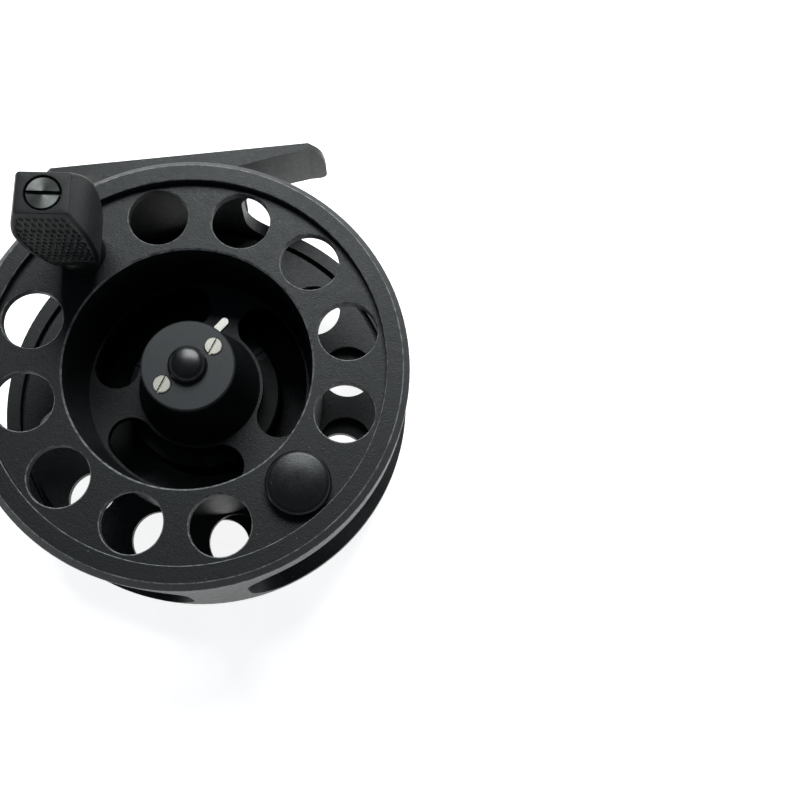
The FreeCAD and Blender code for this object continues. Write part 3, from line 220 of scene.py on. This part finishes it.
def bright_metal(name, colour, rough, along=0.15):
    """Plated or ground metal with faint stains, and marks whose scale along Y is a share of that across."""
    paint = Paint(name, Metallic=1.0)
    marks = paint.noise(scale=4200.0, detail=3.0, roughness=0.6,
                        where=paint.stretched((1.0, along, 1.0)))
    stain = paint.noise(scale=600.0, detail=4.0, roughness=0.6)
    mixed = paint.weighted((marks, 0.6), (stain, 0.4))
    dark = tuple(c * 0.72 for c in colour)
    paint.feed("Base Color", paint.ramp(mixed, (0.3, dark), (0.6, colour)))
    paint.feed("Roughness", paint.span(mixed, rough + 0.1, rough - 0.05, start=0.3, end=0.7))
    paint.bump((marks, 0.12, DRAWN_DEPTH))
    return paint.material


def faced_metal(name, colour, rough):
    """Metal faced off in a lathe: fine rings about the piece's own axis stretch its highlights."""
    paint = Paint(name, Metallic=1.0, Anisotropic=0.8)
    paint.feed("Tangent", paint.node("Tangent", direction_type="RADIAL", axis="Z").outputs["Tangent"])
    stain = paint.noise(scale=900.0, detail=4.0, roughness=0.6)
    fine = paint.noise(scale=4000.0, detail=3.0, roughness=0.6)
    mixed = paint.weighted((stain, 0.5), (fine, 0.5))
    dark = tuple(c * 0.7 for c in colour)
    paint.feed("Base Color", paint.ramp(mixed, (0.35, dark), (0.6, colour)))
    paint.feed("Roughness", paint.span(mixed, rough + 0.08, rough - 0.05, start=0.3, end=0.7))
    paint.bump((fine, 0.2, TURNED_DEPTH))
    return paint.material


def moulded(name, colour, rough):
    """Moulded surface with a faint ripple and dust."""
    paint = Paint(name, Metallic=0.0)
    ripple = paint.noise(scale=350.0, detail=3.0, roughness=0.5)
    dust = paint.noise(scale=5000.0, detail=2.0, roughness=0.7)
    light = tuple(c * 1.5 + 0.004 for c in colour)
    paint.feed("Base Color", paint.ramp(dust, (0.45, colour), (0.75, light)))
    paint.feed("Roughness", paint.span(ripple, rough - 0.03, rough + 0.05, start=0.3, end=0.7))
    paint.bump((ripple, 0.05, RIPPLE_DEPTH), (dust, 0.06, DUST_DEPTH))
    return paint.material


def woven(name):
    """Friction lining: a tight over-and-under weave."""
    paint = Paint(name, Metallic=0.0, Roughness=0.7)
    threads = [paint.node("TexWave", {"Vector": paint.place, "Scale": 900.0}, bands_direction=way)
               for way in ("X", "Y")]
    cloth = paint.math("MULTIPLY", threads[0].outputs["Fac"], threads[1].outputs["Fac"])
    paint.feed("Base Color", paint.ramp(cloth, (0.1, grey(0.012)), (0.9, grey(0.06))))
    paint.bump((cloth, 0.4, GRAIN_DEPTH))
    return paint.material


CASTING = {"dark": 0.0035, "light": 0.0075, "rough": 0.47, "shine": 0.42}
PAINTS = {
    "body": cast_black("body_black", **CASTING),
    "spool": cast_black("spool_black", **CASTING, edges=spool_worn_and_highlight_edges),
    "grip": cast_black("grip_black", dark=0.0026, light=0.0055, rough=0.47, shine=0.33, grain=0.7),
    "lid": cast_black("housing_black", dark=0.0020, light=0.0040, rough=0.5, shine=0.2, grain=0.5),
    "turned": turned_black("turned_dark_grey", dark=0.010, light=0.020, rough=0.46),
    "weight": cast_black("weight_black", dark=0.003, light=0.006, rough=0.34, shine=0.4, grain=0.35),
    "dome": moulded("dome_black", (0.003, 0.0031, 0.0033), rough=0.30),
    "nickel": bright_metal("nickel_plate", (0.62, 0.60, 0.55), rough=0.34),
    "nickel_face": bright_metal("nickel_screw", (0.50, 0.48, 0.43), rough=0.42, along=0.6),
    "dark_steel": bright_metal("dark_steel", (0.11, 0.115, 0.12), rough=0.34),
    "screw_face": faced_metal("handle_screw_steel", (0.105, 0.11, 0.105), rough=0.40),
    # Near-black cover screws: painted shade, standing in for the dark inside of the housing seen through
    # the spool's openings
    "shade_dark_screw": bright_metal("painted_shade_screw", (0.03, 0.031, 0.033), rough=0.40),
    "steel": bright_metal("ground_steel", (0.36, 0.37, 0.38), rough=0.32),
    "spring": bright_metal("spring_steel", (0.30, 0.31, 0.33), rough=0.30),
    "bronze": bright_metal("turned_bronze", (0.42, 0.29, 0.14), rough=0.36),
    "acetal": moulded("black_acetal", (0.006, 0.0062, 0.0065), rough=0.40),
    "lining": woven("friction_lining"),
}
FINISH = {
    "body": ["frame", "back_plate", "reel_foot"],
    "lid": ["drag_housing", "housing_cover"],
    "spool": ["spool"],
    "turned": ["hub_cap", "drag_knob", "knob_cap"],
    "grip": ["handle_knob"],
    "weight": ["counterweight"],
    "dome": ["hub_dome"],
    "nickel_face": ["cap_screws"],
    "screw_face": ["handle_screw"],
    "nickel": ["latch_lever", "latch_pin", "counterweight_screw",
               "spindle_nut", "knob_screw", "pawl_pin"],
    "dark_steel": ["foot_screws"],
    "shade_dark_screw": ["cover_screws"],
    "steel": ["spindle", "drive_sleeve", "drag_rotor", "clutch_shell", "clutch_rollers",
              "front_bearing", "ratchet_wheel", "pressure_plate", "handle_post"],
    "spring": ["drag_spring", "sleeve_clip", "pawl_spring", "latch_spring"],
    "bronze": ["thrust_nut", "rear_bush"],
    "acetal": ["handle_washer", "click_pawl"],
    "lining": ["rear_friction_disc", "front_friction_disc"],
}
for finish, names in FINISH.items():
    for name in names:
        NODES[name].data.materials.clear()
        NODES[name].data.materials.append(PAINTS[finish])


# ---------------------------------------------------------------- the grip, in millimetres

class Bow:
    """Half-width of one view of the grip by height: arcs that meet upright at the belly."""

    def __init__(self, neck, belly, crown):
        self.points = neck, belly, crown

    def at(self, level):
        neck, belly, crown = self.points
        half, height = neck if level < belly[1] else crown
        reach, rise = belly[0] - half, abs(belly[1] - height)
        radius = (reach * reach + rise * rise) / (2.0 * reach)
        off = level - belly[1]
        return belly[0] - radius + math.sqrt(radius * radius - off * off)


GRIP_FOOT, GRIP_BELLY, GRIP_TOP = 46.6, 63.5, 71.4
GRIP_FRONT = Bow((4.6, GRIP_FOOT), (6.95, GRIP_BELLY), (4.85, GRIP_TOP))
GRIP_SIDE = Bow((4.3, GRIP_FOOT), (5.7, GRIP_BELLY), (4.05, GRIP_TOP))
GRIP_TURN = math.radians(-7.8)
GRIP_ROUND = 0.5
GRIP_SOFT, COLLAR_SOFT = 34.0, 40.0             # degrees: faces that meet at less shade smoothly
EDGE_BREAK, BREAK_TURNS = 0.22, (25, 50, 70, 90)
FACE_CELLS, SIDE_CELLS, CORNER_CELLS, LEVEL_CELLS = 84, 36, 5, 150

PANEL_LOW, PANEL_HIGH = 50.6, 70.3
PANEL_INSET, PANEL_DEPTH = 0.95, 0.12
PANEL_SIDE_SLOPE, PANEL_END_SLOPE = 0.25, 0.3
PIT_ACROSS, PIT_ALONG, PIT_DEPTH = 1.25, 1.75, 0.24
PIT_FLOOR, PIT_HALF_ACROSS, PIT_HALF_ALONG = 0.22, 0.36, 0.34       # shares of the pits' spacing

SEAT_RADIUS, SEAT_DEPTH, SEAT_BREAK = 3.37, 1.8, 0.15
BORE_RADIUS = 2.65

COLLAR_CELLS = 288
COLLAR_RADIUS, COLLAR_FOOT, COLLAR_TOP, COLLAR_BREAK = 4.95, 44.42, 47.9, 0.2
COLLAR_PROFILE = (                              # (radius, level) up the outside; the bore closes it
    (BORE_RADIUS, COLLAR_FOOT), (COLLAR_RADIUS - COLLAR_BREAK, COLLAR_FOOT),
    (COLLAR_RADIUS, COLLAR_FOOT + COLLAR_BREAK), (COLLAR_RADIUS, 46.5),
    (COLLAR_RADIUS - 0.15, 47.2), (COLLAR_RADIUS - 0.55, COLLAR_TOP), (BORE_RADIUS, COLLAR_TOP),
)


def smooth_step(value, low, high):
    share = min(max((value - low) / (high - low), 0.0), 1.0)
    return share * share * (3.0 - 2.0 * share)


def panel_sink(across, level, half):
    """How deep the dimpled panel lies at one spot of a broad face."""
    inside = smooth_step(half - PANEL_INSET - abs(across), 0.0, PANEL_SIDE_SLOPE)
    inside *= smooth_step(level, PANEL_LOW, PANEL_LOW + PANEL_END_SLOPE)
    inside *= smooth_step(PANEL_HIGH - level, 0.0, PANEL_END_SLOPE)
    if inside == 0.0:
        return 0.0
    row = level / PIT_ALONG
    column = across / PIT_ACROSS + 0.5 * (round(row) % 2)
    pit = 1.0 - smooth_step(abs(column - round(column)), PIT_FLOOR, PIT_HALF_ACROSS)
    pit *= 1.0 - smooth_step(abs(row - round(row)), PIT_FLOOR, PIT_HALF_ALONG)
    return inside * (PANEL_DEPTH + PIT_DEPTH * pit)


def corner(centre_x, centre_y, quarter):
    """Points of one rounded corner, which starts at the given quarter of a turn."""
    turns = [math.pi / 2 * k / CORNER_CELLS + math.pi / 2 * quarter for k in range(CORNER_CELLS)]
    return [(centre_x + GRIP_ROUND * math.cos(turn), centre_y + GRIP_ROUND * math.sin(turn))
            for turn in turns]


def grip_loop(level):
    """One closed loop of the grip's skin: two broad faces, two narrow ones, four rounded corners."""
    wide, deep = GRIP_FRONT.at(level), GRIP_SIDE.at(level)
    flat_x, flat_y = wide - GRIP_ROUND, deep - GRIP_ROUND
    loop = []
    for quarter, sign in ((0, 1), (2, -1)):
        for k in range(SIDE_CELLS):
            loop.append((sign * wide, sign * flat_y * (2.0 * k / SIDE_CELLS - 1.0)))
        loop += corner(sign * flat_x, sign * flat_y, quarter)
        for k in range(FACE_CELLS):
            across = sign * flat_x * (1.0 - 2.0 * k / FACE_CELLS)
            loop.append((across, sign * (deep - panel_sink(across, level, wide))))
        loop += corner(-sign * flat_x, sign * flat_y, quarter + 1)
    return [(x, y, level) for x, y in loop]


def round_loop(like, radius, level):
    """A circle with one point for each of another loop's, at the same turn."""
    turns = [math.atan2(y, x) for x, y, _ in like]
    return [(radius * math.cos(turn), radius * math.sin(turn), level) for turn in turns]


def skin(name, loops):
    """A closed ring-shaped mesh: each loop joins the next, and the last one the first."""
    count = len(loops[0])
    faces = []
    for row in range(len(loops)):
        near, far = row * count, (row + 1) % len(loops) * count
        for k in range(count):
            following = (k + 1) % count
            faces.append((near + k, near + following, far + following, far + k))
    mesh = bpy.data.meshes.new(name)
    mesh.from_pydata([tuple(MM * c for c in point) for loop in loops for point in loop], [], faces)
    mesh.update()
    piece = bpy.data.objects.new(name, mesh)
    bpy.context.scene.collection.objects.link(piece)
    return piece


def smooth(piece, degrees):
    """Smooth shading with sharp edges wherever two faces meet at this angle or more."""
    mesh = piece.data
    mesh.polygons.foreach_set("use_smooth", [True] * len(mesh.polygons))
    shape = bmesh.new()
    shape.from_mesh(mesh)
    bmesh.ops.recalc_face_normals(shape, faces=shape.faces)
    for edge in shape.edges:
        edge.smooth = edge.calc_face_angle(0.0) < math.radians(degrees)
    shape.to_mesh(mesh)
    shape.free()


def grip_loops():
    """The grip's skin from its foot up to the crown, then down through the screw's seat and the bore."""
    top = GRIP_TOP - EDGE_BREAK
    levels = [GRIP_FOOT + (top - GRIP_FOOT) * k / LEVEL_CELLS for k in range(LEVEL_CELLS + 1)]
    loops = [grip_loop(level) for level in levels]
    crown = grip_loop(top)
    for turn in BREAK_TURNS:
        lift = EDGE_BREAK * math.sin(math.radians(turn))
        scale = 1.0 - EDGE_BREAK * (1.0 - math.cos(math.radians(turn))) / GRIP_FRONT.at(top)
        loops.append([(x * scale, y * scale, top + lift) for x, y, _ in crown])
    for radius, level in ((SEAT_RADIUS + SEAT_BREAK, GRIP_TOP), (SEAT_RADIUS, GRIP_TOP - SEAT_BREAK),
                          (SEAT_RADIUS, GRIP_TOP - SEAT_DEPTH), (BORE_RADIUS, GRIP_TOP - SEAT_DEPTH),
                          (BORE_RADIUS, GRIP_FOOT)):
        loops.append(round_loop(crown, radius, level))
    return loops


def make_grip():
    """The grip with its pressed panels on both broad faces, on a round collar."""
    grip = skin("grip", grip_loops())
    ring = [(math.cos(2 * math.pi * k / COLLAR_CELLS), math.sin(2 * math.pi * k / COLLAR_CELLS), 0.0)
            for k in range(COLLAR_CELLS)]
    collar = skin("grip_collar", [round_loop(ring, radius, level) for radius, level in COLLAR_PROFILE])
    at = JOINTS["handle_spin"]["pos_m"]
    for piece, soft in ((grip, GRIP_SOFT), (collar, COLLAR_SOFT)):
        smooth(piece, soft)
        piece.data.transform(Matrix.Translation((at[0], at[1], 0.0))
                             @ Matrix.Rotation(GRIP_TURN, 4, "Z"))
        piece.data.materials.append(PAINTS["grip"])
        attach(piece, "handle_knob")
    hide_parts("handle_knob")


make_grip()


# ---------------------------------------------------------------- floor, light, camera

FLOOR_REACH, FLOOR_GLOW = 6.0, 0.86
FLOOR_GREYS, GLOW_GREYS = (0.93, 0.96), (0.97, 1.0)

WINDOW_PLACE, WINDOW_AIM = (0.20, 0.88, 0.98), (0.0, 0.0, 0.03)
WINDOW_SIZE, WINDOW_POWER, WINDOW_COLOUR = (0.9, 0.75), 21.0, (0.95, 1.0, 1.0)

# The surroundings by height of view, from -1 straight down to 1 straight up
BAND_TOP, ROOM_START = 0.13, 0.24
BAND_STRENGTH, ROOM_STRENGTH = 0.92, 0.13
SKY_TINTS = ((0.10, (0.97, 0.99, 1.0, 1.0)), (0.60, (0.35, 0.46, 0.58, 1.0)))

CAMERA_LENS, SENSOR_WIDTH = 44.57, 36.0         # millimetres
CAMERA_NEAR = 0.01
CAMERA_PLACE = (0.02485, -0.05864, 0.2383)
CAMERA_TURNS = (("Z", -7.82), ("Y", -3.04), ("X", 13.85))


def make_floor():
    paint = Paint("pale_floor", Roughness=0.75, Emission_Strength=FLOOR_GLOW)
    speck = paint.noise(scale=60.0, detail=4.0, roughness=0.6)
    for socket, (dark, light) in (("Base Color", FLOOR_GREYS), ("Emission Color", GLOW_GREYS)):
        paint.feed(socket, paint.ramp(speck, (0.3, (dark,) * 3), (0.7, (light,) * 3)))
    mesh = bpy.data.meshes.new("floor")
    corners = [(-1, -1), (1, -1), (1, 1), (-1, 1)]
    mesh.from_pydata([(x * FLOOR_REACH, y * FLOOR_REACH, 0) for x, y in corners], [], [(0, 1, 2, 3)])
    mesh.materials.append(paint.material)
    floor = bpy.data.objects.new("floor", mesh)
    bpy.context.scene.collection.objects.link(floor)


def make_window():
    """One broad soft light, high behind the foot."""
    light = bpy.data.lights.new("window", "AREA")
    light.shape = "RECTANGLE"
    light.size, light.size_y = WINDOW_SIZE
    light.energy = WINDOW_POWER
    light.color = WINDOW_COLOUR
    item = bpy.data.objects.new("window", light)
    item.location = WINDOW_PLACE
    aim = Vector(WINDOW_AIM) - Vector(WINDOW_PLACE)
    item.rotation_euler = aim.to_track_quat("-Z", "Y").to_euler()
    bpy.context.scene.collection.objects.link(item)


def make_world():
    """Dim cool surroundings above a pale band that stands behind the floor."""
    world = bpy.data.worlds.new("studio")
    world.use_nodes = True
    tree = world.node_tree
    back = tree.nodes["Background"]
    place = tree.nodes.new("ShaderNodeTexCoord")
    parts = tree.nodes.new("ShaderNodeSeparateXYZ")
    tint = tree.nodes.new("ShaderNodeValToRGB")
    for element, (position, colour) in zip(tint.color_ramp.elements, SKY_TINTS):
        element.position, element.color = position, colour
    band = tree.nodes.new("ShaderNodeMapRange")
    for socket, value in (("From Min", BAND_TOP), ("From Max", ROOM_START),
                          ("To Min", BAND_STRENGTH), ("To Max", ROOM_STRENGTH)):
        band.inputs[socket].default_value = value
    tree.links.new(place.outputs["Generated"], parts.inputs["Vector"])
    tree.links.new(parts.outputs["Z"], tint.inputs["Fac"])
    tree.links.new(parts.outputs["Z"], band.inputs["Value"])
    tree.links.new(tint.outputs["Color"], back.inputs["Color"])
    tree.links.new(band.outputs["Result"], back.inputs["Strength"])
    bpy.context.scene.world = world


def make_camera():
    camera = bpy.data.cameras.new("camera")
    camera.lens = CAMERA_LENS
    camera.sensor_width = SENSOR_WIDTH
    camera.clip_start = CAMERA_NEAR
    item = bpy.data.objects.new("camera", camera)
    stand = Matrix.Translation(CAMERA_PLACE)
    for axis, degrees in CAMERA_TURNS:
        stand = stand @ Matrix.Rotation(math.radians(degrees), 4, axis)
    item.matrix_world = stand
    bpy.context.scene.collection.objects.link(item)
    bpy.context.scene.camera = item


make_floor()
make_world()
make_window()
make_camera()
bpy.context.scene.view_settings.view_transform = "Standard"
